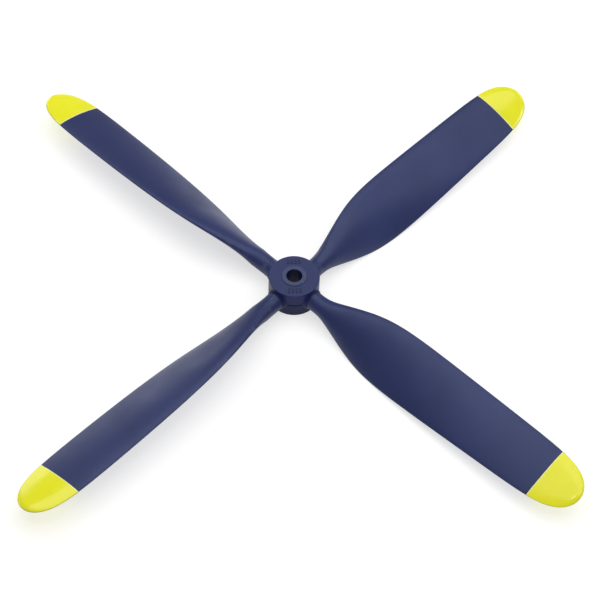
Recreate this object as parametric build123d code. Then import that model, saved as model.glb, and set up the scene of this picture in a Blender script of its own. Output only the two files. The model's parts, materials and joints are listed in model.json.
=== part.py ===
"""Four-bladed model aircraft propeller with a split clamp hub, 10.5 inch diameter by 8 inch pitch.

Millimetres. +Z runs along the shaft towards the front of the aircraft. The origin is on the shaft
axis in the hub's rear face, and the blades point along +X, +Y, -X and -Y. Seen from the front the
propeller turns anticlockwise. Each blade has a round root that sits in half sockets of the two
hub halves, so its pitch can be set before the four screws are tightened from behind.
"""
from math import atan, cos, exp, log, pi, radians, sin, sqrt, tan
import os

from build123d import *

# Driving dimensions
INCH = 25.4
DIAMETER = 10.5 * INCH
PITCH = 8.0 * INCH
BLADE_COUNT = 4
TIP_RADIUS = DIAMETER / 2

# Hub halves
HUB_RADIUS = 9.5
HUB_REAR_DEPTH = 6.0
HUB_FRONT_DEPTH = 5.8
SHAFT_BORE_RADIUS = 3.0
FRONT_RIM_ROUND = 0.3
REAR_RIM_CHAMFER = 0.25
SEAM_CHAMFER = 0.3
COLLAR_START = 7.5
COLLAR_START_RADIUS = 4.6
COLLAR_END = 9.9
COLLAR_END_RADIUS = 4.0
COLLAR_END_ROUND = 0.2
SPIGOT_RADIUS = 3.5
SPIGOT_HEIGHT = 1.6
SPIGOT_FIT = 0.05
NUT_SEAT_RADIUS = 4.7
NUT_SEAT_HEIGHT = 0.25
NUT_SEAT_ROUND = 0.1

# Raised bars on the front face
BAR_COUNT = 4
BAR_PITCH = 1.4
BAR_WIDTH = 0.6
BAR_LENGTH = 2.0
BAR_HEIGHT = 0.2
BAR_RADIUS = 6.7

# Blade roots and their sockets
SHANK_RADIUS = 3.6
ROOT_START = 4.05
GROOVE_START = 5.85
GROOVE_END = 7.35
GROOVE_RADIUS = 2.6
SHANK_END = 12.0
ROOT_CHAMFER = 0.3
SOCKET_FIT = 0.05
SOCKET_END_GAP = 0.1

# Blade shape, as fractions of the tip radius unless said otherwise
NECK_DIAMETER = 7.1                 # mm
FLARE_START = 0.118
FLARE_SLOPE = 0.73
FLARE_EASE = 0.010
FLARE_BLEND = 5.5
PADDLE_CHORD = 0.2000
PADDLE_TAPER = 0.0475
TIP_ROUND_START = 0.60
TIP_ROUND_POWER = 7.6
TIP_END_CHORD = 2.0                 # mm
ROOT_ANGLE = 41.0                   # degrees
ANGLE_BLEND = 6
THICKNESS_AT_AXIS = 0.0285
THICKNESS_TAPER = 0.0205
ROOT_THICKENING = 0.036
ROOT_THICKENING_FADE = 0.085
SECTION_BLEND_END = 0.32
NOSE_BIAS = 0.30
BACK_FLATNESS = 0.70
RAKE_AT_TIP = 0.0206

# Paint on the tips, which starts at a slightly different radius on each blade
PAINT_STARTS = (118.4, 117.9, 116.7, 118.3)
PAINT_THICKNESS = 0.1

# Clamp screws, M1.6 with socket heads, and the threaded inserts that they draw into
SCREW_CIRCLE_RADIUS = 7.3
SCREW_RADIUS = 0.8
SCREW_HOLE_RADIUS = 0.9
SCREW_HEAD_RADIUS = 1.5
SCREW_HEAD_HEIGHT = 1.3
COUNTERBORE_RADIUS = 1.6
COUNTERBORE_DEPTH = 1.8
SCREW_LENGTH = 8.0
HEX_SOCKET_WIDTH = 1.5
HEX_SOCKET_DEPTH = 0.8
INSERT_RADIUS = 1.25
INSERT_BORE_RADIUS = 0.82
INSERT_LENGTH = 3.0
INSERT_START = 1.7
INSERT_FIT = 0.02

# Worked out from the above
BLADE_PLANE = HUB_REAR_DEPTH
FRONT_FACE = HUB_REAR_DEPTH + HUB_FRONT_DEPTH
BLADE_STEP = 360 / BLADE_COUNT
FIRST_PAINT = min(PAINT_STARTS)

# Fineness of the blades, and how far cutting shapes run past what they cut
INNER_STATIONS = 15
INNER_CROWDING = 1.35
OUTER_STATIONS = 10
SIDE_SPANS = 12
OVERCUT = 1.0


def smoothstep(low, high, value):
    """Rise from 0 at low to 1 at high, level at both ends."""
    fraction = min(max((value - low) / (high - low), 0), 1)
    return fraction * fraction * (3 - 2 * fraction)


def blade_chord(radius):
    """Chord in mm: a round neck that flares into a gently tapered paddle with a rounded tip."""
    x = radius / TIP_RADIUS
    rise = FLARE_EASE * log(1 + exp((x - FLARE_START) / FLARE_EASE))
    flare = NECK_DIAMETER / TIP_RADIUS + FLARE_SLOPE * rise
    paddle = PADDLE_CHORD - PADDLE_TAPER * x
    chord = (flare ** -FLARE_BLEND + paddle ** -FLARE_BLEND) ** (-1 / FLARE_BLEND)
    tip = max((x - TIP_ROUND_START) / (1 - TIP_ROUND_START), 0)
    chord *= sqrt(max(1 - tip ** TIP_ROUND_POWER, 0))
    return max(chord * TIP_RADIUS, TIP_END_CHORD)


def blade_thickness(radius):
    """Greatest thickness in mm, from the round neck to the thin tip."""
    x = radius / TIP_RADIUS
    if x <= FLARE_START:
        return NECK_DIAMETER
    thickening = ROOT_THICKENING * exp(-(x - FLARE_START) / ROOT_THICKENING_FADE)
    return min((THICKNESS_AT_AXIS - THICKNESS_TAPER * x + thickening) * TIP_RADIUS, NECK_DIAMETER)


def blade_angle(radius):
    """Angle in degrees between the chord and the plane of rotation, for a constant pitch."""
    root_radius = PITCH / (2 * pi * tan(radians(ROOT_ANGLE)))
    limited = (radius ** ANGLE_BLEND + root_radius ** ANGLE_BLEND) ** (1 / ANGLE_BLEND)
    return atan(PITCH / (2 * pi * limited)) * 180 / pi


def blade_section(radius, grow=0.0):
    """Closed section across the blade on +X, with its leading edge towards +Y and the front."""
    chord = blade_chord(radius) + 2 * grow
    thickness = blade_thickness(radius) + 2 * grow
    wing = smoothstep(FLARE_START, SECTION_BLEND_END, radius / TIP_RADIUS)
    bias = NOSE_BIAS * wing
    camber = BACK_FLATNESS * thickness / 2 * wing
    rake = RAKE_AT_TIP * TIP_RADIUS * max(radius - SHANK_END, 0) / (TIP_RADIUS - SHANK_END)
    angle = radians(blade_angle(radius))

    def surface_point(turn):
        along = chord / 2 * cos(turn)
        across = thickness / 2 * sin(turn) * (1 + bias * cos(turn)) + camber * sin(turn) ** 2
        y = along * cos(angle) - across * sin(angle)
        z = along * sin(angle) + across * cos(angle)
        return radius, y, BLADE_PLANE + rake + z

    half_turn = [pi * index / SIDE_SPANS for index in range(SIDE_SPANS + 1)]
    front = Spline(*[surface_point(turn) for turn in half_turn])
    back = Spline(*[surface_point(turn - pi) for turn in half_turn])
    return make_face([front, back])


def inner_radii():
    """Section radii from the neck to the first paint line, closer together at the neck."""
    span = FIRST_PAINT - SHANK_END
    steps = [(index / INNER_STATIONS) ** INNER_CROWDING for index in range(INNER_STATIONS)]
    return [SHANK_END + span * step for step in steps]


def outer_radii():
    """Section radii from the first paint line to the tip, closer together at the tip."""
    span = TIP_RADIUS - FIRST_PAINT
    steps = [sin(pi / 2 * index / OUTER_STATIONS) for index in range(OUTER_STATIONS + 1)]
    return [FIRST_PAINT + span * step for step in steps]


def blade_root():
    """Turned root: a head, a retaining groove and the round shank, along +X."""
    profile = Polyline(
        (ROOT_START, 0),
        (ROOT_START, SHANK_RADIUS - ROOT_CHAMFER),
        (ROOT_START + ROOT_CHAMFER, SHANK_RADIUS),
        (GROOVE_START, SHANK_RADIUS),
        (GROOVE_START, GROOVE_RADIUS),
        (GROOVE_END, GROOVE_RADIUS),
        (GROOVE_END, SHANK_RADIUS),
        (SHANK_END, SHANK_RADIUS),
        (SHANK_END, 0),
        close=True,
    )
    return Pos(0, 0, BLADE_PLANE) * revolve(make_face(profile), Axis.X)


def make_blade():
    """Blade on +X, with its turned root and its twisted paddle."""
    radii = inner_radii() + outer_radii()
    return blade_root() + loft([blade_section(radius) for radius in radii])


def make_tip_coat(blade, start):
    """Coat of paint over the end of the blade on +X, from a starting radius."""
    radii = outer_radii()
    sections = [blade_section(radius, PAINT_THICKNESS) for radius in radii[:-1]]
    sections.append(Pos(PAINT_THICKNESS, 0, 0) * blade_section(radii[-1], PAINT_THICKNESS))
    from_start = (Align.MIN, Align.CENTER, Align.CENTER)
    beyond = Pos(start, 0, BLADE_PLANE) * Box(TIP_RADIUS, TIP_RADIUS, TIP_RADIUS, align=from_start)
    return (loft(sections) & beyond) - blade


def root_socket():
    """Space that one blade root needs inside the hub, along +X."""
    head = SHANK_RADIUS + SOCKET_FIT
    throat = GROOVE_RADIUS + SOCKET_FIT
    inner = ROOT_START - SOCKET_END_GAP
    outer = COLLAR_END + OVERCUT
    profile = Polyline(
        (inner, 0),
        (inner, head),
        (GROOVE_START + SOCKET_FIT, head),
        (GROOVE_START + SOCKET_FIT, throat),
        (GROOVE_END - SOCKET_FIT, throat),
        (GROOVE_END - SOCKET_FIT, head),
        (outer, head),
        (outer, 0),
        close=True,
    )
    return Pos(0, 0, BLADE_PLANE) * revolve(make_face(profile), Axis.X)


def around_hub(shape):
    """Copies of a shape, one for each blade."""
    return [Rot(0, 0, BLADE_STEP * index) * shape for index in range(BLADE_COUNT)]


def upright_cylinder(radius, low, high):
    """Cylinder on the Z axis between two heights."""
    return Pos(0, 0, low) * Cylinder(radius, high - low, align=(Align.CENTER, Align.CENTER, Align.MIN))


def at_screw(shape):
    """Move a shape from the Z axis to the first screw, midway between two blades."""
    return Rot(0, 0, BLADE_STEP / 2) * Pos(SCREW_CIRCLE_RADIUS, 0, 0) * shape


def raised_bars():
    """Two short rows of plain bars on the front face, between the blades."""
    row = []
    for index in range(BAR_COUNT):
        offset = BAR_PITCH * (index - (BAR_COUNT - 1) / 2)
        bar = Box(BAR_LENGTH, BAR_WIDTH, 2 * BAR_HEIGHT)
        row.append(Pos(BAR_RADIUS, offset, FRONT_FACE) * bar)
    near = Rot(0, 0, BLADE_STEP / 2) * Compound(children=row)
    return near.solids() + (Rot(0, 0, 180) * near).solids()


def socket_collar():
    """Tapered collar round one blade socket, along +X."""
    profile = Polyline(
        (COLLAR_START, 0),
        (COLLAR_START, COLLAR_START_RADIUS),
        (COLLAR_END, COLLAR_END_RADIUS),
        (COLLAR_END, 0),
        close=True,
    )
    collar = Pos(0, 0, BLADE_PLANE) * revolve(make_face(profile), Axis.X)
    return fillet(collar.edges().filter_by(GeomType.CIRCLE).sort_by(Axis.X)[-1], COLLAR_END_ROUND)


def half_collars(low, high):
    """The part of all the collars between two heights."""
    half = upright_cylinder(COLLAR_END + OVERCUT, low, high)
    return [collar & half for collar in around_hub(socket_collar())]


def make_hub_front():
    """Front half: the round face, the nut seat, half sockets and the holes for the inserts."""
    body = upright_cylinder(HUB_RADIUS, BLADE_PLANE, FRONT_FACE)
    rims = body.edges().filter_by(GeomType.CIRCLE).sort_by(Axis.Z)
    body = chamfer(rims[0], SEAM_CHAMFER)
    body = fillet(body.edges().filter_by(GeomType.CIRCLE).sort_by(Axis.Z)[-1], FRONT_RIM_ROUND)
    seat = upright_cylinder(NUT_SEAT_RADIUS, BLADE_PLANE, FRONT_FACE + NUT_SEAT_HEIGHT)
    seat = fillet(seat.edges().filter_by(GeomType.CIRCLE).sort_by(Axis.Z)[-1], NUT_SEAT_ROUND)
    body += seat
    body += raised_bars()
    body += half_collars(BLADE_PLANE, FRONT_FACE)
    body -= upright_cylinder(SHAFT_BORE_RADIUS, 0, FRONT_FACE + OVERCUT)
    body -= upright_cylinder(SPIGOT_RADIUS + SPIGOT_FIT, 0, BLADE_PLANE + SPIGOT_HEIGHT + SPIGOT_FIT)
    body -= around_hub(root_socket())
    insert_start = BLADE_PLANE + INSERT_START
    insert_hole = upright_cylinder(INSERT_RADIUS + INSERT_FIT, 0, insert_start + INSERT_LENGTH)
    return body - around_hub(at_screw(insert_hole))


def make_hub_rear():
    """Rear half: the flat rear face, the spigot, half sockets and the screw holes."""
    body = upright_cylinder(HUB_RADIUS, 0, BLADE_PLANE)
    rims = body.edges().filter_by(GeomType.CIRCLE).sort_by(Axis.Z)
    body = chamfer(rims[-1], SEAM_CHAMFER)
    body = chamfer(body.edges().filter_by(GeomType.CIRCLE).sort_by(Axis.Z)[0], REAR_RIM_CHAMFER)
    body += half_collars(0, BLADE_PLANE)
    body += upright_cylinder(SPIGOT_RADIUS, 0, BLADE_PLANE + SPIGOT_HEIGHT)
    body -= upright_cylinder(SHAFT_BORE_RADIUS, -OVERCUT, FRONT_FACE)
    body -= around_hub(root_socket())
    screw_hole = upright_cylinder(SCREW_HOLE_RADIUS, -OVERCUT, FRONT_FACE)
    screw_hole += upright_cylinder(COUNTERBORE_RADIUS, -OVERCUT, COUNTERBORE_DEPTH)
    return body - around_hub(at_screw(screw_hole))


def make_clamp_screw():
    """Socket head screw on the Z axis, with its head in the rear half's counterbore."""
    head_low = COUNTERBORE_DEPTH - SCREW_HEAD_HEIGHT
    screw = upright_cylinder(SCREW_HEAD_RADIUS, head_low, COUNTERBORE_DEPTH)
    screw += upright_cylinder(SCREW_RADIUS, head_low, COUNTERBORE_DEPTH + SCREW_LENGTH)
    hexagon = RegularPolygon(HEX_SOCKET_WIDTH / 2, 6, major_radius=False)
    return screw - extrude(Pos(0, 0, head_low) * hexagon, HEX_SOCKET_DEPTH)


def make_thread_insert():
    """Brass insert on the Z axis, in the front half above the seam."""
    low = BLADE_PLANE + INSERT_START
    high = low + INSERT_LENGTH
    insert = upright_cylinder(INSERT_RADIUS, low, high)
    return insert - upright_cylinder(INSERT_BORE_RADIUS, low - OVERCUT, high + OVERCUT)


def save(name, shape):
    """Write one sub-part to its own file."""
    export_step(shape, f"parts/{name}.step")


def save_around(name, shape):
    """Write one numbered sub-part for each blade."""
    for index, copy in enumerate(around_hub(shape)):
        save(f"{name}_{index + 1}", copy)


os.makedirs("parts", exist_ok=True)
blade = make_blade()
save("hub_front", make_hub_front())
save("hub_rear", make_hub_rear())
save_around("blade", blade)
for index, start in enumerate(PAINT_STARTS):
    save(f"tip_coat_{index + 1}", Rot(0, 0, BLADE_STEP * index) * make_tip_coat(blade, start))
save_around("clamp_screw", at_screw(make_clamp_screw()))
save_around("thread_insert", at_screw(make_thread_insert()))
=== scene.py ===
"""Looks of the four-bladed model aircraft propeller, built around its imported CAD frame.

Metres, in the frame of the CAD model: +Z is the shaft axis towards the front of the aircraft, and
the blades point along +X, +Y, -X and -Y. The blades, their painted tips, the clamp screws and the
threaded inserts are meshes made from the same dimensions as the CAD solids, with finer detail. The
two hub halves are the CAD solids with a moulded plastic material.
"""

import json
from math import atan, cos, exp, log, pi, radians, sin, sqrt, tan

import bmesh
import bpy
from mathutils import Matrix, Vector


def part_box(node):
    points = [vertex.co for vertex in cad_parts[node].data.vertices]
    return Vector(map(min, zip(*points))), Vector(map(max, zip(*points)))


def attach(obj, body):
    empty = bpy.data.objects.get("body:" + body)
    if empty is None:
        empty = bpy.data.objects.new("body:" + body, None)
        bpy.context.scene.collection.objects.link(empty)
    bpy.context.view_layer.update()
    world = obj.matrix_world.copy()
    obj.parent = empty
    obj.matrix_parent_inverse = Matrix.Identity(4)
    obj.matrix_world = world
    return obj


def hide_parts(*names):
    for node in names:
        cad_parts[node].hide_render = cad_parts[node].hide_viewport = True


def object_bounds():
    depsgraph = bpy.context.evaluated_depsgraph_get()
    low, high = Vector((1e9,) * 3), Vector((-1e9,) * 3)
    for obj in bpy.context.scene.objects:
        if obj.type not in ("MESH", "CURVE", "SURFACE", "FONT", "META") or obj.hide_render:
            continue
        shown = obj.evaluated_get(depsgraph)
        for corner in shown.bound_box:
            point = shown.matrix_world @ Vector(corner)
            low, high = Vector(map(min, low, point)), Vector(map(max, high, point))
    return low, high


MM = 0.001

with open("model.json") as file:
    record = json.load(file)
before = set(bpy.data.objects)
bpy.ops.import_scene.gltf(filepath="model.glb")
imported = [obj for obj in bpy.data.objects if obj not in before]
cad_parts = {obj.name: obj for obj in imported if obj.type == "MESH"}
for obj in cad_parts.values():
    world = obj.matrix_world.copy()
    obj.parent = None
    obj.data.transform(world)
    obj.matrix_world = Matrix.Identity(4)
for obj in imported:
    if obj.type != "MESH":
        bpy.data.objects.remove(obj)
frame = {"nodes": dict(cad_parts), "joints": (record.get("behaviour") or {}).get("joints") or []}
cad_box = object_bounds()

# Places taken from the frame
BLADE_COUNT = 4
BLADE_PLANE = frame["joints"][0]["pos_m"][2]
TIP_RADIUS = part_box("blade_1")[1].x
ROOT_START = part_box("blade_1")[0].x
PAINT_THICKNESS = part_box("tip_coat_1")[1].x - TIP_RADIUS
HUB_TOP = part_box("hub_front")[1].z
FLOOR_HEIGHT = cad_box[0][2]

# Hub
SEAT_RADIUS = 4.7 * MM

# Blade roots
SHANK_RADIUS = 3.6 * MM
GROOVE_START = 5.85 * MM
GROOVE_END = 7.35 * MM
GROOVE_RADIUS = 2.6 * MM
SHANK_END = 12.0 * MM
ROOT_CHAMFER = 0.3 * MM
ROOT_EDGE = 0.08 * MM
ROOT_INNER_RING = 0.5

# Blade shape, as fractions of the tip radius unless said otherwise
PITCH = 203.2 * MM
NECK_DIAMETER = 7.1 * MM
FLARE_START = 0.118
FLARE_SLOPE = 0.73
FLARE_EASE = 0.010
FLARE_BLEND = 5.5
PADDLE_CHORD = 0.2000
PADDLE_TAPER = 0.0475
TIP_ROUND_START = 0.60
TIP_ROUND_POWER = 7.6
ROOT_ANGLE = 41.0
ANGLE_BLEND = 6
THICKNESS_AT_AXIS = 0.0285
THICKNESS_TAPER = 0.0205
ROOT_THICKENING = 0.036
ROOT_THICKENING_FADE = 0.085
SECTION_BLEND_END = 0.32
NOSE_BIAS = 0.30
BACK_FLATNESS = 0.70
RAKE_AT_TIP = 0.0206
TIP_EDGE_ROUND = 2.4 * MM
TIP_ZONE = 8 * MM

# Fineness of the meshes
RING_POINTS = 72
PADDLE_RINGS = 120
TIP_RINGS = 30
COAT_RINGS = 36
THREAD_RINGS_PER_TURN = 6
CRISP_ANGLE = radians(35)

# Paint, whose lip gives the distance from the paint's start in mm and the height in thicknesses
COAT_LIP = ((0.00, -0.5), (0.03, 0.3), (0.10, 0.9), (0.22, 1.2), (0.45, 1.05), (0.80, 1.0))
COAT_DEPTH = 0.15 * MM
COAT_INNER_START = 0.3 * MM
COAT_INNER_END = 1.2 * MM
COAT_TIP_POWER = 8

# Clamp screws, drawn with the axis on Z
SCREW_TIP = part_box("clamp_screw_1")[1].z
SCREW_HEAD_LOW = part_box("clamp_screw_1")[0].z
SCREW_HEAD_HIGH = SCREW_HEAD_LOW + 1.3 * MM
SCREW_HEAD_RADIUS = 1.5 * MM
SCREW_HEAD_BEVEL = 0.12 * MM
SCREW_RADIUS = 0.8 * MM
SCREW_FILLET = 0.06 * MM
SCREW_NECK = 0.55 * MM
SCREW_TIP_BEVEL = 0.25 * MM
SCREW_CIRCLE_RADIUS = 7.3 * MM
KNURL_FLUTES = 18
KNURL_DEPTH = 0.05 * MM
HEX_WIDTH = 1.5 * MM
HEX_DEPTH = 0.8 * MM
HEX_FLOOR_SHARE = 0.98
HEX_FLOOR_ROUND = 0.03 * MM
HEX_FLOOR_CONE = 0.1 * MM
HEX_MOUTH_DEPTH = 0.10 * MM
HEX_MOUTH_EDGE = 0.02 * MM
HEX_MOUTH_INNER = 1.19
HEX_MOUTH_OUTER = 1.23
THREAD_PITCH = 0.35 * MM
THREAD_DEPTH = 0.17 * MM
THREAD_START = 0.6 * MM
THREAD_STOP = 0.3 * MM
THREAD_FADE_TURNS = 2

# Threaded inserts, drawn with the axis on Z. The outline gives the height as a part of the whole,
# the radius as a part of the full radius, and 1 where there is a knurl
INSERT_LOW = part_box("thread_insert_1")[0].z
INSERT_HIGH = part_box("thread_insert_1")[1].z
INSERT_RADIUS = 1.25 * MM
INSERT_BORE_RADIUS = 0.82 * MM
INSERT_BEVEL = 0.15 * MM
INSERT_KNURL = 0.03
INSERT_THREAD_DEPTH = 0.13 * MM
INSERT_OUTLINE = (
    (0.00, 0.90, 0), (0.04, 0.96, 0), (0.08, 0.97, 1), (0.36, 0.97, 1), (0.40, 0.86, 0),
    (0.60, 0.86, 0), (0.64, 0.97, 1), (0.92, 0.97, 1), (0.96, 0.96, 0), (1.00, 0.90, 0),
)


def smoothstep(low, high, value):
    """Rise from 0 at low to 1 at high, level at both ends."""
    fraction = min(max((value - low) / (high - low), 0), 1)
    return fraction * fraction * (3 - 2 * fraction)


# Blade formulas

def blade_chord(radius):
    """Chord: a round neck that flares into a gently tapered paddle with a rounded tip."""
    x = radius / TIP_RADIUS
    rise = FLARE_EASE * log(1 + exp((x - FLARE_START) / FLARE_EASE))
    flare = NECK_DIAMETER / TIP_RADIUS + FLARE_SLOPE * rise
    paddle = PADDLE_CHORD - PADDLE_TAPER * x
    chord = (flare ** -FLARE_BLEND + paddle ** -FLARE_BLEND) ** (-1 / FLARE_BLEND)
    tip = max((x - TIP_ROUND_START) / (1 - TIP_ROUND_START), 0)
    return chord * sqrt(max(1 - tip ** TIP_ROUND_POWER, 0)) * TIP_RADIUS


def blade_thickness(radius):
    """Greatest thickness, from the round neck to the thin tip, rounded off at the very end."""
    x = radius / TIP_RADIUS
    if x <= FLARE_START:
        return NECK_DIAMETER
    thickening = ROOT_THICKENING * exp(-(x - FLARE_START) / ROOT_THICKENING_FADE)
    thickness = (THICKNESS_AT_AXIS - THICKNESS_TAPER * x + thickening) * TIP_RADIUS
    last = min(max((radius - TIP_RADIUS + TIP_EDGE_ROUND) / TIP_EDGE_ROUND, 0), 1)
    return min(thickness, NECK_DIAMETER) * sqrt(1 - last * last)


def blade_angle(radius):
    """Angle in radians between the chord and the plane of rotation, for a constant pitch."""
    root_radius = PITCH / (2 * pi * tan(radians(ROOT_ANGLE)))
    limited = (radius ** ANGLE_BLEND + root_radius ** ANGLE_BLEND) ** (1 / ANGLE_BLEND)
    return atan(PITCH / (2 * pi * limited))


def blade_lift(radius):
    """Height of the section's middle, which leans a little forwards towards the tip."""
    outward = max(radius - SHANK_END, 0) / (TIP_RADIUS - SHANK_END)
    return BLADE_PLANE + RAKE_AT_TIP * TIP_RADIUS * outward


def blade_ring(radius, grow=0.0, shift=0.0):
    """Points round the blade on +X at a radius, from the leading edge over the front face."""
    chord = blade_chord(radius) + 2 * grow
    thickness = blade_thickness(radius) + 2 * grow
    wing = smoothstep(FLARE_START, SECTION_BLEND_END, radius / TIP_RADIUS)
    bias = NOSE_BIAS * wing
    camber = BACK_FLATNESS * thickness / 2 * wing
    angle = blade_angle(radius)
    ring = []
    for index in range(RING_POINTS):
        turn = 2 * pi * index / RING_POINTS
        along = chord / 2 * cos(turn)
        across = thickness / 2 * sin(turn) * (1 + bias * cos(turn)) + camber * sin(turn) ** 2
        y = along * cos(angle) - across * sin(angle)
        z = along * sin(angle) + across * cos(angle)
        ring.append(Vector((radius + shift, y, blade_lift(radius) + z)))
    return ring


def rim_distance(point):
    """How far a point of the blade on +X lies inside the blade's outline."""
    angle = blade_angle(point.x)
    along = point.y * cos(angle) + (point.z - blade_lift(point.x)) * sin(angle)
    return min(blade_chord(min(point.x, TIP_RADIUS)) / 2 - abs(along), TIP_RADIUS - point.x)


# Meshes

def round_points(height, radius_at):
    """Points round the Z axis at a height, at the radius that a function gives for each angle."""
    ring = []
    for index in range(RING_POINTS):
        turn = 2 * pi * (index / RING_POINTS)
        radius = radius_at(turn)
        ring.append(Vector((radius * cos(turn), radius * sin(turn), height)))
    return ring


def bridge(builder, low, high):
    """Band of quads between two rows of vertices."""
    for index in range(len(low)):
        after = (index + 1) % len(low)
        builder.faces.new((low[index], high[index], high[after], low[after]))


def fan(builder, row, pole):
    """Triangles from a row of vertices to a point."""
    centre = builder.verts.new(pole)
    for index in range(len(row)):
        builder.faces.new((row[index], row[(index + 1) % len(row)], centre))


def shell(name, rings, poles=None):
    """Closed mesh through rings: drawn in to a pole at each end, or joined end to end."""
    builder = bmesh.new()
    rows = [[builder.verts.new(point) for point in ring] for ring in rings]
    for low, high in zip(rows, rows[1:]):
        bridge(builder, low, high)
    if poles:
        fan(builder, rows[0], poles[0])
        fan(builder, rows[-1], poles[1])
    else:
        bridge(builder, rows[-1], rows[0])
    bmesh.ops.recalc_face_normals(builder, faces=builder.faces)
    mesh = bpy.data.meshes.new(name)
    builder.to_mesh(mesh)
    builder.free()
    smooth_by_angle(mesh, CRISP_ANGLE)
    piece = bpy.data.objects.new(name, mesh)
    bpy.context.scene.collection.objects.link(piece)
    return piece


def smooth_by_angle(mesh, limit):
    """Smooth shading, with edges sharper than the limit kept crisp."""
    mesh.shade_smooth()
    builder = bmesh.new()
    builder.from_mesh(mesh)
    for edge in builder.edges:
        edge.smooth = edge.calc_face_angle(0) < limit
    builder.to_mesh(mesh)
    builder.free()


def ring_centre(ring):
    """Middle of a ring of points."""
    return sum(ring, Vector()) / len(ring)


def note(piece, name, measure):
    """Store on each vertex what a function measures there, for the materials."""
    values = [measure(vertex.co) for vertex in piece.data.vertices]
    piece.data.attributes.new(name, "FLOAT", "POINT").data.foreach_set("value", values)


def turned(piece, turns):
    """Turn a piece's mesh about the shaft axis by a part of a whole turn."""
    piece.data.transform(Matrix.Rotation(2 * pi * turns, 4, "Z"))
    return piece


# Blades

def root_ring(x, radius):
    """Points round the turned root at a place along the blade's axis."""
    ring = []
    for index in range(RING_POINTS):
        turn = 2 * pi * index / RING_POINTS + blade_angle(SHANK_END)
        ring.append(Vector((x, radius * cos(turn), BLADE_PLANE + radius * sin(turn))))
    return ring


def root_rings():
    """Head, groove and shank of the root, with small rounds that catch the light."""
    edge = ROOT_EDGE
    profile = [
        (ROOT_START, (SHANK_RADIUS - ROOT_CHAMFER) * ROOT_INNER_RING),
        (ROOT_START, SHANK_RADIUS - ROOT_CHAMFER - edge),
        (ROOT_START + edge / 2, SHANK_RADIUS - ROOT_CHAMFER),
        (ROOT_START + ROOT_CHAMFER, SHANK_RADIUS - edge / 2),
        (ROOT_START + ROOT_CHAMFER + edge, SHANK_RADIUS),
        (GROOVE_START - edge, SHANK_RADIUS),
        (GROOVE_START, SHANK_RADIUS - edge),
        (GROOVE_START, GROOVE_RADIUS + edge),
        (GROOVE_START + edge, GROOVE_RADIUS),
        (GROOVE_END - edge, GROOVE_RADIUS),
        (GROOVE_END, GROOVE_RADIUS + edge),
        (GROOVE_END, SHANK_RADIUS - edge),
        (GROOVE_END + edge, SHANK_RADIUS),
        (SHANK_END - edge, SHANK_RADIUS),
    ]
    return [root_ring(x, radius) for x, radius in profile]


def make_blade(name):
    """One blade on +X, from its root head to its tip."""
    rings = root_rings()
    paddle_end = TIP_RADIUS - TIP_ZONE
    for index in range(PADDLE_RINGS + 1):
        rings.append(blade_ring(SHANK_END + (paddle_end - SHANK_END) * index / PADDLE_RINGS))
    for index in range(1, TIP_RINGS):
        reach = sin(pi / 2 * index / TIP_RINGS)
        rings.append(blade_ring(paddle_end + (TIP_RADIUS - paddle_end) * reach))
    return shell(name, rings, (ring_centre(rings[0]), ring_centre(blade_ring(TIP_RADIUS))))


def paint_start(number):
    """Radius at which the paint of a numbered blade starts."""
    low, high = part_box(f"tip_coat_{number}")
    return (low.x, low.y, -high.x, -high.y)[number - 1]


def make_coat(name, start):
    """Paint on the tip of the blade on +X: a thin closed skin with a soft raised edge."""
    rings = [blade_ring(start + along * MM, grow * PAINT_THICKNESS) for along, grow in COAT_LIP]
    lip_end = start + COAT_LIP[-1][0] * MM
    for index in range(1, COAT_RINGS):
        reach = sin(pi / 2 * index / COAT_RINGS)
        radius = lip_end + (TIP_RADIUS - lip_end) * reach
        shift = PAINT_THICKNESS * reach ** COAT_TIP_POWER
        rings.append(blade_ring(radius, PAINT_THICKNESS, shift))
    outer_pole = ring_centre(blade_ring(TIP_RADIUS)) + Vector((PAINT_THICKNESS, 0, 0))
    inner_start = start + COAT_INNER_START
    inner_end = TIP_RADIUS - COAT_INNER_END
    inner = []
    for index in range(COAT_RINGS):
        reach = sin(pi / 2 * index / COAT_RINGS)
        inner.append(blade_ring(inner_start + (inner_end - inner_start) * reach, -COAT_DEPTH))
    return shell(name, inner[::-1] + rings, (ring_centre(blade_ring(inner_end)), outer_pole))


# Fasteners

def hexagon(turn):
    """Radius of the screw's hexagon socket at an angle."""
    sixth = pi / 3
    return HEX_WIDTH / 2 / cos(turn % sixth - sixth / 2)


def knurled(radius, turn):
    """Radius of the screw's head at an angle, with its straight flutes."""
    return radius - KNURL_DEPTH * (0.5 - 0.5 * cos(KNURL_FLUTES * turn))


def thread_cut(height, turn):
    """Depth of a right-hand thread at a height and an angle, from 0 at a crest to 1 at a root."""
    phase = (height / THREAD_PITCH - turn / (2 * pi)) % 1
    return 1 - abs(2 * phase - 1)


def level(radius):
    """Function that gives the same radius at every angle."""
    return lambda turn: radius


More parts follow.
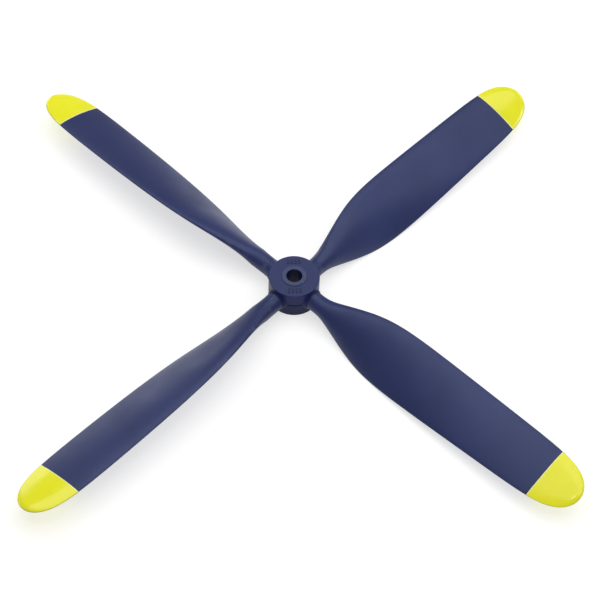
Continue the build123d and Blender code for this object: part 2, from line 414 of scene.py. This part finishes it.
def make_screw(name):
    """Socket head cap screw: hexagon socket, knurled head and rolled thread."""
    low, high, bevel = SCREW_HEAD_LOW, SCREW_HEAD_HIGH, SCREW_HEAD_BEVEL
    socket_floor = low + HEX_DEPTH
    rings = [
        round_points(socket_floor, lambda turn: hexagon(turn) * HEX_FLOOR_SHARE),
        round_points(socket_floor - HEX_FLOOR_ROUND, hexagon),
        round_points(low + HEX_MOUTH_DEPTH, hexagon),
        round_points(low + HEX_MOUTH_EDGE, level(HEX_WIDTH / 2 * HEX_MOUTH_INNER)),
        round_points(low, level(HEX_WIDTH / 2 * HEX_MOUTH_OUTER)),
        round_points(low, level(SCREW_HEAD_RADIUS - 2 * bevel)),
        round_points(low + bevel * 0.2, level(SCREW_HEAD_RADIUS - bevel)),
        round_points(low + bevel, level(SCREW_HEAD_RADIUS - KNURL_DEPTH)),
        round_points(low + 2 * bevel, lambda turn: knurled(SCREW_HEAD_RADIUS, turn)),
        round_points(high - 2 * bevel, lambda turn: knurled(SCREW_HEAD_RADIUS, turn)),
        round_points(high - bevel, level(SCREW_HEAD_RADIUS - KNURL_DEPTH)),
        round_points(high, level(SCREW_HEAD_RADIUS - bevel)),
        round_points(high, level(SCREW_RADIUS + SCREW_FILLET)),
        round_points(high + SCREW_FILLET, level(SCREW_RADIUS)),
        round_points(high + SCREW_NECK, level(SCREW_RADIUS)),
    ]
    start = high + THREAD_START
    length = SCREW_TIP - THREAD_STOP - start
    count = round(length / THREAD_PITCH * THREAD_RINGS_PER_TURN)
    for index in range(count + 1):
        height = start + length * index / count
        depth = THREAD_DEPTH * smoothstep(0, THREAD_FADE_TURNS, index / THREAD_RINGS_PER_TURN)
        rings.append(round_points(
            height, lambda turn: SCREW_RADIUS - depth * thread_cut(height, turn)))
    rings.append(round_points(SCREW_TIP, level(SCREW_RADIUS - SCREW_TIP_BEVEL)))
    poles = (Vector((0, 0, socket_floor + HEX_FLOOR_CONE)), Vector((0, 0, SCREW_TIP)))
    return shell(name, rings, poles)


def make_insert(name):
    """Brass insert: two knurled bands with a groove between them, and a threaded bore."""
    height = INSERT_HIGH - INSERT_LOW
    rings = []
    for part, width, knurl in INSERT_OUTLINE:
        ripple = INSERT_KNURL * INSERT_RADIUS * knurl
        rings.append(round_points(
            INSERT_LOW + part * height,
            lambda turn: INSERT_RADIUS * width + ripple * cos(KNURL_FLUTES * turn)))
    mouth = level(INSERT_BORE_RADIUS + INSERT_BEVEL)
    rings.append(round_points(INSERT_HIGH, mouth))
    length = height - 2 * INSERT_BEVEL
    count = round(length / THREAD_PITCH * THREAD_RINGS_PER_TURN)
    for index in range(count + 1):
        place = INSERT_HIGH - INSERT_BEVEL - length * index / count
        rings.append(round_points(
            place,
            lambda turn: INSERT_BORE_RADIUS + INSERT_THREAD_DEPTH * (1 - thread_cut(place, turn))))
    rings.append(round_points(INSERT_LOW, mouth))
    return shell(name, rings)


def at_screw(piece, number):
    """Move a piece's mesh from the Z axis to a numbered screw, midway between two blades."""
    piece.data.transform(Matrix.Translation((SCREW_CIRCLE_RADIUS, 0, 0)))
    return turned(piece, (number - 0.5) / BLADE_COUNT)


# Materials

# Colours are linear, and a pair is mixed by noise
BLADE_NAVY = ((0.0150, 0.0220, 0.086, 1), (0.0230, 0.0325, 0.121, 1))
HUB_NAVY = ((0.0300, 0.0370, 0.108, 1), (0.0405, 0.0500, 0.142, 1))
# Darker copy of the hub's navy for its side walls, as painted shade
WALL_NAVY_SHADED = ((0.0098, 0.0140, 0.084, 1), (0.0145, 0.0195, 0.112, 1))
# Dark navy painted into creases, onto the bars and towards the floor as painted shade
NAVY_PAINTED_SHADE = (0.004, 0.006, 0.022, 1)
# Pale navy for rubbed edges and the rubbed nut seat, also a painted highlight on the hub's edges
NAVY_SCUFF_AND_HIGHLIGHT = (0.060, 0.072, 0.150, 1)
NAVY_SHEEN = (0.72, 0.80, 1.0, 1)
YELLOW = ((0.86, 0.84, 0.016, 1), (0.79, 0.78, 0.010, 1))
# Pale yellow, a painted highlight along the line where the paint starts
YELLOW_LINE_HIGHLIGHT = (0.86, 0.86, 0.36, 1)
YELLOW_THIN = (0.42, 0.43, 0.07, 1)
OXIDE = ((0.035, 0.036, 0.040, 1), (0.075, 0.076, 0.082, 1))
OXIDE_RUBBED = (0.42, 0.42, 0.43, 1)
BRASS = ((0.76, 0.53, 0.22, 1), (0.62, 0.41, 0.15, 1))
BRASS_TARNISHED = (0.20, 0.13, 0.05, 1)
WHITE = (1, 1, 1, 1)

# Gloss
BLADE_GLOSS = 0.42
HUB_GLOSS = 0.17
PAINT_GLOSS = 0.4
PAINT_COAT_WEIGHT = 0.12
PAINT_COAT_ROUGHNESS = 0.08

# How much of each effect shows
SPECKLE_SHARE = 0.35
FINE_ROUGHNESS_SHARE = 0.3
EDGE_WEAR = 0.55
# How dark the painted shade on the raised bars gets
BAR_PAINTED_SHADE = 0.35
# How dark the painted shade towards the floor gets
WALL_FLOOR_SHADE = 0.85
PAINT_THINNING = 0.8

# Depths below the nut seat's top, which is 0.25 mm above the hub's face and 0.05 mm above the bars
WALL_DEPTH = 0.6 * MM
FACE_DEPTH = 0.3 * MM
RAISED_DEPTHS = (0.22 * MM, 0.10 * MM)

BEVEL_SAMPLES = 6
CREASE_SAMPLES = 8
CREASE_RANGE = (0.78, 0.30)


def node_material(name):
    """New material with its node tree and its shader."""
    material = bpy.data.materials.new(name)
    material.use_nodes = True
    tree = material.node_tree
    return material, tree, tree.nodes["Principled BSDF"]


def link(tree, value, socket):
    """Give an input a plain value, or join another node's output to it."""
    if isinstance(value, bpy.types.NodeSocket):
        tree.links.new(value, socket)
    else:
        socket.default_value = value


def object_place(tree):
    """Place on the object in metres."""
    return tree.nodes.new("ShaderNodeTexCoord").outputs["Object"]


def noise(tree, scale, detail=2.0, stretch=None):
    """Noise from 0 to 1, with its scale per metre, stretched along an axis where asked."""
    node = tree.nodes.new("ShaderNodeTexNoise")
    node.inputs["Scale"].default_value = scale
    node.inputs["Detail"].default_value = detail
    place = object_place(tree)
    if stretch:
        place = vector_math(tree, "MULTIPLY", place, stretch)
    tree.links.new(place, node.inputs["Vector"])
    return node.outputs["Fac"]


def vector_math(tree, operation, first, second=None, output="Vector"):
    """Arithmetic with vectors."""
    node = tree.nodes.new("ShaderNodeVectorMath")
    node.operation = operation
    link(tree, first, node.inputs[0])
    if second is not None:
        link(tree, second, node.inputs[1])
    return node.outputs[output]


def number_math(tree, operation, first, second):
    """Arithmetic with numbers."""
    node = tree.nodes.new("ShaderNodeMath")
    node.operation = operation
    link(tree, first, node.inputs[0])
    link(tree, second, node.inputs[1])
    return node.outputs[0]


def ranged(tree, value, low, high, to_low=0.0, to_high=1.0):
    """Map a value's range onto another, held at both ends."""
    node = tree.nodes.new("ShaderNodeMapRange")
    limits = {"From Min": low, "From Max": high, "To Min": to_low, "To Max": to_high}
    for name, number in limits.items():
        node.inputs[name].default_value = number
    tree.links.new(value, node.inputs["Value"])
    return node.outputs["Result"]


def ranged_noise(tree, scale, detail, between, to=(0.0, 1.0)):
    """Noise whose values between two levels are mapped onto another range."""
    return ranged(tree, noise(tree, scale, detail), *between, *to)


def mixed(tree, factor, first, second):
    """Colour between two colours."""
    node = tree.nodes.new("ShaderNodeMix")
    node.data_type = "RGBA"
    tree.links.new(factor, node.inputs[0])
    link(tree, first, node.inputs[6])
    link(tree, second, node.inputs[7])
    return node.outputs[2]


def bumped(tree, height, distance, strength, normal=None):
    """Normal with a bump of a height, over another normal where one is given."""
    node = tree.nodes.new("ShaderNodeBump")
    node.inputs["Distance"].default_value = distance
    node.inputs["Strength"].default_value = strength
    tree.links.new(height, node.inputs["Height"])
    if normal:
        tree.links.new(normal, node.inputs["Normal"])
    return node.outputs["Normal"]


def stored(tree, name):
    """Value stored on the mesh's vertices."""
    node = tree.nodes.new("ShaderNodeAttribute")
    node.attribute_name = name
    return node.outputs["Fac"]


def rounded_normal(tree, radius):
    """Normal as if edges were rounded to a radius."""
    node = tree.nodes.new("ShaderNodeBevel")
    node.samples = BEVEL_SAMPLES
    node.inputs["Radius"].default_value = radius
    return node.outputs["Normal"]


def edge_mask(tree, radius, low, high):
    """Near 1 where the surface bends within a radius, and 0 on open faces."""
    plain = tree.nodes.new("ShaderNodeNewGeometry").outputs["Normal"]
    likeness = vector_math(tree, "DOT_PRODUCT", rounded_normal(tree, radius), plain, "Value")
    return ranged(tree, likeness, 1 - low, 1 - high)


def crease_mask(tree, distance):
    """Near 1 in narrow corners, and 0 in the open."""
    node = tree.nodes.new("ShaderNodeAmbientOcclusion")
    node.samples = CREASE_SAMPLES
    node.inputs["Distance"].default_value = distance
    return ranged(tree, node.outputs["AO"], *CREASE_RANGE)


def plastic_colour(tree, navy):
    """Two navies mixed in soft clouds from moulding and a fine speckle."""
    clouds = noise(tree, scale=38, detail=3)
    speckle = number_math(tree, "MULTIPLY", noise(tree, scale=1500), SPECKLE_SHARE)
    both = number_math(tree, "ADD", clouds, speckle)
    return mixed(tree, ranged(tree, both, low=0.42, high=0.95), *navy)


def plastic_finish(tree, shader, gloss, normal=None):
    """Roughness, gloss and bump of fine matte plastic."""
    fine = number_math(tree, "MULTIPLY", noise(tree, scale=1100), FINE_ROUGHNESS_SHARE)
    uneven = number_math(tree, "ADD", noise(tree, scale=90, detail=3), fine)
    roughness = ranged(tree, uneven, low=0.4, high=0.9, to_low=0.34, to_high=0.47)
    tree.links.new(roughness, shader.inputs["Roughness"])
    shader.inputs["Specular IOR Level"].default_value = gloss
    shader.inputs["Specular Tint"].default_value = NAVY_SHEEN
    waves = noise(tree, scale=55, detail=1)
    waves = bumped(tree, waves, distance=0.10 * MM, strength=0.5, normal=normal)
    grain = noise(tree, scale=2400, detail=3)
    grain = bumped(tree, grain, distance=0.012 * MM, strength=0.7, normal=waves)
    tree.links.new(grain, shader.inputs["Normal"])


def blade_plastic():
    """Navy moulded plastic of the blades, rubbed pale in places along the edges, with painted
    shade in its creases.
    """
    material, tree, shader = node_material("blade_plastic_navy")
    near_edge = ranged(tree, stored(tree, "rim"), low=0.45 * MM, high=0.05 * MM)
    patches = ranged_noise(tree, scale=260, detail=4, between=(0.56, 0.66))
    # Painted shade: the navy is darkened in creases, where ambient occlusion is low
    colour = mixed(tree, crease_mask(tree, 4 * MM), plastic_colour(tree, BLADE_NAVY), NAVY_PAINTED_SHADE)
    worn = number_math(tree, "MULTIPLY", near_edge, patches)
    worn = number_math(tree, "MULTIPLY", worn, EDGE_WEAR)
    tree.links.new(mixed(tree, worn, colour, NAVY_SCUFF_AND_HIGHLIGHT), shader.inputs["Base Color"])
    plastic_finish(tree, shader, BLADE_GLOSS)
    return material


def hub_plastic():
    """Navy moulded plastic of the hub, with softened edges and a rubbed nut seat; painted shade
    darkens its walls, its bars, its creases and its lower part, and its pale edges are partly wear
    and partly painted highlight.
    """
    material, tree, shader = node_material("hub_plastic_navy")
    place = object_place(tree)
    flat_place = vector_math(tree, "MULTIPLY", place, (1, 1, 0))
    radius = vector_math(tree, "LENGTH", flat_place, output="Value")
    split = tree.nodes.new("ShaderNodeSeparateXYZ")
    tree.links.new(place, split.inputs[0])
    height = split.outputs["Z"]
    # Painted shade: the side walls below the face take a darker copy of the face's navy
    on_face = ranged(tree, height, HUB_TOP - WALL_DEPTH, HUB_TOP - FACE_DEPTH)
    colour = mixed(tree, on_face, plastic_colour(tree, WALL_NAVY_SHADED), plastic_colour(tree, HUB_NAVY))
    above_face = ranged(tree, height, *(HUB_TOP - depth for depth in RAISED_DEPTHS))
    in_seat = ranged(tree, radius, SEAT_RADIUS + 0.1 * MM, SEAT_RADIUS - 0.3 * MM)
    on_bars = number_math(tree, "SUBTRACT", above_face, in_seat)
    # Painted shade: the raised bars on the face are darkened
    bar_shade = ranged(tree, on_bars, low=0, high=1, to_high=BAR_PAINTED_SHADE)
    colour = mixed(tree, bar_shade, colour, NAVY_PAINTED_SHADE)
    # Painted shade: the hub darkens from below the blades' plane down to the floor
    floor_shade = ranged(tree, height, BLADE_PLANE + 2 * MM, FLOOR_HEIGHT, to_high=WALL_FLOOR_SHADE)
    colour = mixed(tree, floor_shade, colour, NAVY_PAINTED_SHADE)
    # Painted shade: the hub is darkened in its creases and in the bore, where ambient occlusion is
    # low
    colour = mixed(tree, crease_mask(tree, 5 * MM), colour, NAVY_PAINTED_SHADE)
    on_seat = number_math(tree, "MULTIPLY", above_face, in_seat)
    rubbing = ranged_noise(tree, scale=700, detail=3, between=(0.2, 0.6), to=(0.6, 1.0))
    rubbed = number_math(tree, "MULTIPLY", on_seat, rubbing)
    colour = mixed(tree, rubbed, colour, NAVY_SCUFF_AND_HIGHLIGHT)
    # Partly wear and partly painted highlight: the hub's edges turn pale in patches, which also
    # gives the light line along the face's rim
    patches = ranged_noise(tree, scale=420, detail=4, between=(0.46, 0.62), to=(0.0, 0.5))
    edges = edge_mask(tree, radius=0.25 * MM, low=0.02, high=0.15)
    worn = number_math(tree, "MULTIPLY", edges, patches)
    tree.links.new(mixed(tree, worn, colour, NAVY_SCUFF_AND_HIGHLIGHT), shader.inputs["Base Color"])
    plastic_finish(tree, shader, HUB_GLOSS, rounded_normal(tree, 0.12 * MM))
    return material


def tip_paint():
    """Glossy yellow paint: a painted highlight where it ends on the blade, thin and olive along
    the outline.
    """
    material, tree, shader = node_material("tip_paint_yellow")
    clouds = ranged_noise(tree, scale=70, detail=3, between=(0.3, 0.7))
    colour = mixed(tree, clouds, *YELLOW)
    wobble = number_math(tree, "MULTIPLY", noise(tree, scale=400), 0.25 * MM)
    from_line = number_math(tree, "SUBTRACT", stored(tree, "line"), wobble)
    # Painted highlight: a pale band along the line where the paint starts
    line_highlight = ranged(tree, from_line, low=0.35 * MM, high=0.15 * MM)
    colour = mixed(tree, line_highlight, colour, YELLOW_LINE_HIGHLIGHT)
    from_rim = number_math(tree, "ADD", stored(tree, "rim"), wobble)
    thin = ranged(tree, from_rim, low=0.28 * MM, high=0.10 * MM, to_high=PAINT_THINNING)
    tree.links.new(mixed(tree, thin, colour, YELLOW_THIN), shader.inputs["Base Color"])
    roughness = ranged_noise(tree, scale=160, detail=3, between=(0.3, 0.7), to=(0.12, 0.20))
    tree.links.new(roughness, shader.inputs["Roughness"])
    shader.inputs["Specular IOR Level"].default_value = PAINT_GLOSS
    shader.inputs["Coat Weight"].default_value = PAINT_COAT_WEIGHT
    shader.inputs["Coat Roughness"].default_value = PAINT_COAT_ROUGHNESS
    peel = bumped(tree, noise(tree, scale=420), distance=0.012 * MM, strength=0.6)
    tree.links.new(peel, shader.inputs["Normal"])
    return material


def screw_steel():
    """Black oxide steel, rubbed bright on its edges."""
    material, tree, shader = node_material("screw_steel_black")
    shader.inputs["Metallic"].default_value = 1
    clouds = ranged_noise(tree, scale=900, detail=3, between=(0.3, 0.7))
    oxide = mixed(tree, clouds, *OXIDE)
    patches = ranged_noise(tree, scale=1600, detail=2, between=(0.42, 0.6))
    edges = edge_mask(tree, radius=0.08 * MM, low=0.02, high=0.2)
    worn = number_math(tree, "MULTIPLY", edges, patches)
    tree.links.new(mixed(tree, worn, oxide, OXIDE_RUBBED), shader.inputs["Base Color"])
    roughness = ranged_noise(tree, scale=2200, detail=2, between=(0.3, 0.7), to=(0.30, 0.46))
    tree.links.new(roughness, shader.inputs["Roughness"])
    grain = bumped(tree, noise(tree, scale=5200), distance=0.004 * MM, strength=0.6)
    tree.links.new(grain, shader.inputs["Normal"])
    return material


def insert_brass():
    """Machined brass, a little tarnished in its grooves."""
    material, tree, shader = node_material("insert_brass")
    shader.inputs["Metallic"].default_value = 1
    clouds = ranged_noise(tree, scale=1100, detail=3, between=(0.3, 0.7))
    clean = mixed(tree, clouds, *BRASS)
    tarnished = mixed(tree, crease_mask(tree, 0.4 * MM), clean, BRASS_TARNISHED)
    tree.links.new(tarnished, shader.inputs["Base Color"])
    roughness = ranged_noise(tree, scale=1800, detail=2, between=(0.3, 0.7), to=(0.22, 0.36))
    tree.links.new(roughness, shader.inputs["Roughness"])
    turning = noise(tree, scale=9000, detail=1, stretch=(0.05, 0.05, 1))
    turning = bumped(tree, turning, distance=0.004 * MM, strength=0.7)
    tree.links.new(turning, shader.inputs["Normal"])
    return material


# Build

def stand_for(piece, material, node, body):
    """Give a piece its material, hide the CAD node that it stands for, and attach it to the body
    that it moves with.
    """
    piece.data.materials.append(material)
    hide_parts(node)
    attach(piece, body)


navy_blade = blade_plastic()
navy_hub = hub_plastic()
yellow = tip_paint()
steel = screw_steel()
brass = insert_brass()

for number in range(1, BLADE_COUNT + 1):
    blade = make_blade(f"propeller_blade_{number}")
    start = paint_start(number)
    coat = make_coat(f"painted_tip_{number}", start)
    note(coat, "line", lambda place: place.x - start)
    for piece in (blade, coat):
        note(piece, "rim", rim_distance)
        turned(piece, (number - 1) / BLADE_COUNT)
    stand_for(blade, navy_blade, f"blade_{number}", f"blade_{number}")
    stand_for(coat, yellow, f"tip_coat_{number}", f"blade_{number}")
    screw = at_screw(make_screw(f"socket_screw_{number}"), number)
    stand_for(screw, steel, f"clamp_screw_{number}", "hub")
    insert = at_screw(make_insert(f"brass_insert_{number}"), number)
    stand_for(insert, brass, f"thread_insert_{number}", "hub")

for node in ("hub_front", "hub_rear"):
    for slot in frame["nodes"][node].material_slots:
        slot.material = navy_hub

# Camera. The view is turned so that its upward direction lies midway between two blades
VIEW_TURN = -45
TO_VIEW = Matrix.Rotation(radians(VIEW_TURN), 3, "Z")
CAMERA_DISTANCE = 4.674 * TIP_RADIUS
CAMERA_TILT = radians(36.70)
CAMERA_TURN = radians(-3.52 + VIEW_TURN)
CAMERA_ROLL = radians(-2.37)
TARGET = TO_VIEW @ Vector((0.0153, -0.0509, 0)) * TIP_RADIUS
LENS = 100.27
SENSOR = 36
CLIP_START = 0.01


def add_camera():
    """Camera above and in front, with the blades running to the corners of its view."""
    flat = Vector((sin(CAMERA_TURN), -cos(CAMERA_TURN), 0))
    towards = sin(CAMERA_TILT) * flat + Vector((0, 0, cos(CAMERA_TILT)))
    position = CAMERA_DISTANCE * towards + Vector((0, 0, BLADE_PLANE))
    target = TARGET + Vector((0, 0, BLADE_PLANE))
    forward = (target - position).normalized()
    turned_up = TO_VIEW @ Vector((0, 1, 0))
    level_up = (turned_up - forward * turned_up.dot(forward)).normalized()
    level_right = forward.cross(level_up)
    right = cos(CAMERA_ROLL) * level_right + sin(CAMERA_ROLL) * level_up
    up = -sin(CAMERA_ROLL) * level_right + cos(CAMERA_ROLL) * level_up
    data = bpy.data.cameras.new("camera")
    data.lens = LENS
    data.sensor_width = SENSOR
    data.clip_start = CLIP_START
    camera = bpy.data.objects.new("camera", data)
    bpy.context.scene.collection.objects.link(camera)
    rotation = Matrix((right, up, -forward)).transposed().to_4x4()
    camera.matrix_world = Matrix.Translation(position) @ rotation
    bpy.context.scene.camera = camera


# Studio: soft round lights at one distance, each with its turn from the camera's right and its
# height above the floor in degrees, its size in metres and its power in watts
LIGHTS = {
    "right": (0, 60, 0.7, 2.3),
    "back_right": (60, 60, 0.7, 2.2),
    "back_left": (120, 60, 0.7, 2.5),
    "left": (180, 60, 0.7, 1.1),
    "top": (0, 90, 0.7, 1.5),
    "low_right": (45, 12, 0.7, 1.2),
    "low_left": (125, 10, 0.5, 1.2),
    "glint_right": (20, 35, 0.22, 0.55),
    "glint_front": (-95, 78, 0.30, 0.6),
}
LIGHT_DISTANCE = 1.2
WORLD_STRENGTH = 0.34
FLOOR_SIZE = 60
FLOOR_GREY = (0.45, 0.45, 0.45, 1)
FLOOR_ROUGHNESS = 0.9
FLOOR_GLOW = 0.62


def add_floor():
    """Plain pale floor that the rear face of the hub rests on."""
    bpy.ops.mesh.primitive_plane_add(size=FLOOR_SIZE, location=(0, 0, FLOOR_HEIGHT))
    floor = bpy.context.object
    floor.name = "floor"
    material, tree, shader = node_material("floor")
    shader.inputs["Base Color"].default_value = FLOOR_GREY
    shader.inputs["Roughness"].default_value = FLOOR_ROUGHNESS
    shader.inputs["Emission Color"].default_value = WHITE
    shader.inputs["Emission Strength"].default_value = FLOOR_GLOW
    floor.data.materials.append(material)


def add_light(name, turn, height, size, power):
    """Round light that faces the middle of the propeller."""
    data = bpy.data.lights.new(name, "AREA")
    data.shape = "DISK"
    data.size = size
    data.energy = power
    around = CAMERA_TURN + radians(turn)
    flat = Vector((cos(around), sin(around), 0))
    direction = cos(radians(height)) * flat + Vector((0, 0, sin(radians(height))))
    light = bpy.data.objects.new(name, data)
    light.location = LIGHT_DISTANCE * direction
    light.rotation_euler = (-direction).to_track_quat("-Z", "Y").to_euler()
    bpy.context.scene.collection.objects.link(light)


def add_world():
    """Even white light from all round."""
    world = bpy.data.worlds.new("world")
    world.use_nodes = True
    background = world.node_tree.nodes["Background"]
    background.inputs["Color"].default_value = WHITE
    background.inputs["Strength"].default_value = WORLD_STRENGTH
    bpy.context.scene.world = world


add_camera()
add_floor()
for light_name, placing in LIGHTS.items():
    add_light(light_name, *placing)
add_world()
bpy.context.scene.view_settings.view_transform = "Standard"
